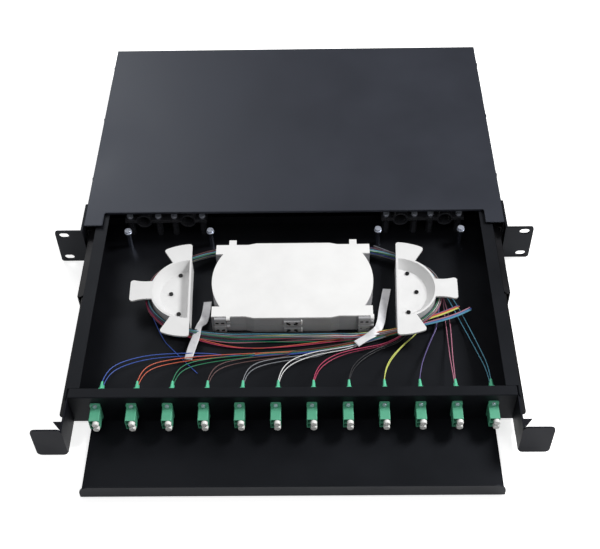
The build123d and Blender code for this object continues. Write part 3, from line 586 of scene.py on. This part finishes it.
def plates(name, spots, thickness):
    """Rounded plates with chamfered fronts, from their places, widths, heights and turns."""
    mesh = bmesh.new()
    for x, y, z, width, height, turn in spots:
        turned = Matrix.Rotation(math.radians(turn), 2)
        loops = []
        for share, scale in plate_sections:
            loop = []
            for step in range(plate_steps):
                angle = 2 * math.pi * step / plate_steps
                corner = Vector((rounded(math.cos(angle)) * width, rounded(math.sin(angle)) * height))
                corner = turned @ corner * scale / 2
                spot = Vector((x + corner.x, y - thickness * share, z + corner.y))
                loop.append(mesh.verts.new(spot * mm))
            loops.append(loop)
        for back, front in zip(loops, loops[1:]):
            for i in range(plate_steps):
                mesh.faces.new((back[i - 1], back[i], front[i], front[i - 1]))
        mesh.faces.new(loops[0])
        mesh.faces.new(loops[-1])
    bmesh.ops.recalc_face_normals(mesh, faces=mesh.faces)
    return new_piece(name, mesh)


fittings = [
    # The slot plates use the black rubber material as painted shade
    ("cassette_painted_slot_shade_lower", painted_slot_shade_lower, painted_slot_shade_thickness, "drawer", "rubber_edge"),
    ("cassette_painted_slot_shade_upper", painted_slot_shade_upper, painted_slot_shade_thickness, "cassette", "rubber_edge"),
    ("cassette_rib_lower", rib_lower, rib_thickness, "drawer", "white_plastic"),
    ("cassette_rib_upper", rib_upper, rib_thickness, "cassette", "white_plastic"),
]
for name, spots, thickness, body, slot in fittings:
    piece = plates(name, spots, thickness)
    dress(piece, by_slot[slot])
    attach(piece, body)


# Camera
def aim():
    """Turn of the camera from its three angles."""
    elevation = math.radians(camera_elevation)
    azimuth = math.radians(camera_azimuth)
    roll = math.radians(camera_roll)
    ahead = Vector((math.sin(azimuth), math.cos(azimuth), 0)) * math.cos(elevation)
    forward = ahead - Vector((0, 0, math.sin(elevation)))
    level = forward.cross(Vector((0, 0, 1))).normalized()
    level_up = level.cross(forward)
    right = level * math.cos(roll) + level_up * math.sin(roll)
    up = right.cross(forward)
    return Matrix((right, up, -forward)).transposed()


camera_data = bpy.data.cameras.new("camera")
camera_data.sensor_width = camera_sensor
camera_data.sensor_fit = "HORIZONTAL"
camera_data.lens = camera_lens
camera = bpy.data.objects.new("camera", camera_data)
camera.matrix_world = Matrix.Translation(camera_place) @ aim().to_4x4()
scene.collection.objects.link(camera)
scene.camera = camera

# Floor: pale, with a shadow, and lifted towards white where the camera or a reflection sees it
floor_half = 25.0
floor_tone = 0.85
floor_rough = 0.9
floor_lift = 0.6
camera_lift = 0.08
floor_z = cad_box[0][2]
floor_mesh = bpy.data.meshes.new("floor")
floor_signs = ((-1, -1), (1, -1), (1, 1), (-1, 1))
floor_corners = [(x * floor_half, y * floor_half, floor_z) for x, y in floor_signs]
floor_mesh.from_pydata(floor_corners, [], [(0, 1, 2, 3)])
floor = bpy.data.objects.new("floor", floor_mesh)
scene.collection.objects.link(floor)
floor_material, floor_tree, floor_shader = new_material("floor")
floor_shader.inputs["Base Color"].default_value = (floor_tone, floor_tone, floor_tone, 1)
floor_shader.inputs["Roughness"].default_value = floor_rough
light_path = floor_tree.nodes.new("ShaderNodeLightPath")
seen = floor_tree.nodes.new("ShaderNodeMath")
seen.operation = "MAXIMUM"
seen_all = floor_tree.nodes.new("ShaderNodeMath")
seen_all.operation = "MAXIMUM"
lift = floor_tree.nodes.new("ShaderNodeMath")
lift.operation = "MULTIPLY"
lift.inputs[1].default_value = floor_lift
whiten = floor_tree.nodes.new("ShaderNodeMath")
whiten.operation = "MULTIPLY_ADD"
whiten.inputs[1].default_value = camera_lift
floor_tree.links.new(light_path.outputs["Is Camera Ray"], seen.inputs[0])
floor_tree.links.new(light_path.outputs["Is Glossy Ray"], seen.inputs[1])
floor_tree.links.new(seen.outputs[0], seen_all.inputs[0])
floor_tree.links.new(light_path.outputs["Is Transmission Ray"], seen_all.inputs[1])
floor_tree.links.new(seen_all.outputs[0], lift.inputs[0])
floor_tree.links.new(light_path.outputs["Is Camera Ray"], whiten.inputs[0])
floor_tree.links.new(lift.outputs[0], whiten.inputs[2])
floor_tree.links.new(whiten.outputs[0], floor_shader.inputs["Emission Strength"])
floor_shader.inputs["Emission Color"].default_value = (1, 1, 1, 1)
dress(floor, floor_material)

# Light: an even white world and four soft lamps, in metres and watts
world_strength = 0.24
world = bpy.data.worlds.new("studio")
world.use_nodes = True
scene.world = world
world.node_tree.nodes["Background"].inputs["Color"].default_value = (1, 1, 1, 1)
world.node_tree.nodes["Background"].inputs["Strength"].default_value = world_strength


def lamp(name, place, target, size, power):
    """Square lamp that faces a target."""
    data = bpy.data.lights.new(name, "AREA")
    data.shape = "SQUARE"
    data.size = size
    data.energy = power
    obj = bpy.data.objects.new(name, data)
    obj.location = place
    obj.rotation_euler = (Vector(target) - Vector(place)).to_track_quat("-Z", "Y").to_euler()
    scene.collection.objects.link(obj)


lamp("key", (1.25, 0.35, 1.35), (0, -0.05, 0), 0.5, 31)
lamp("fill", (-0.3, -0.7, 1.8), (0, 0, 0), 1.2, 6)
lamp("rear", (-0.75, 1.2, 1.0), (0, 0.1, 0), 0.9, 8)
lamp("front", (0.9, -1.1, 0.6), (0, 0, 0), 0.7, 3)
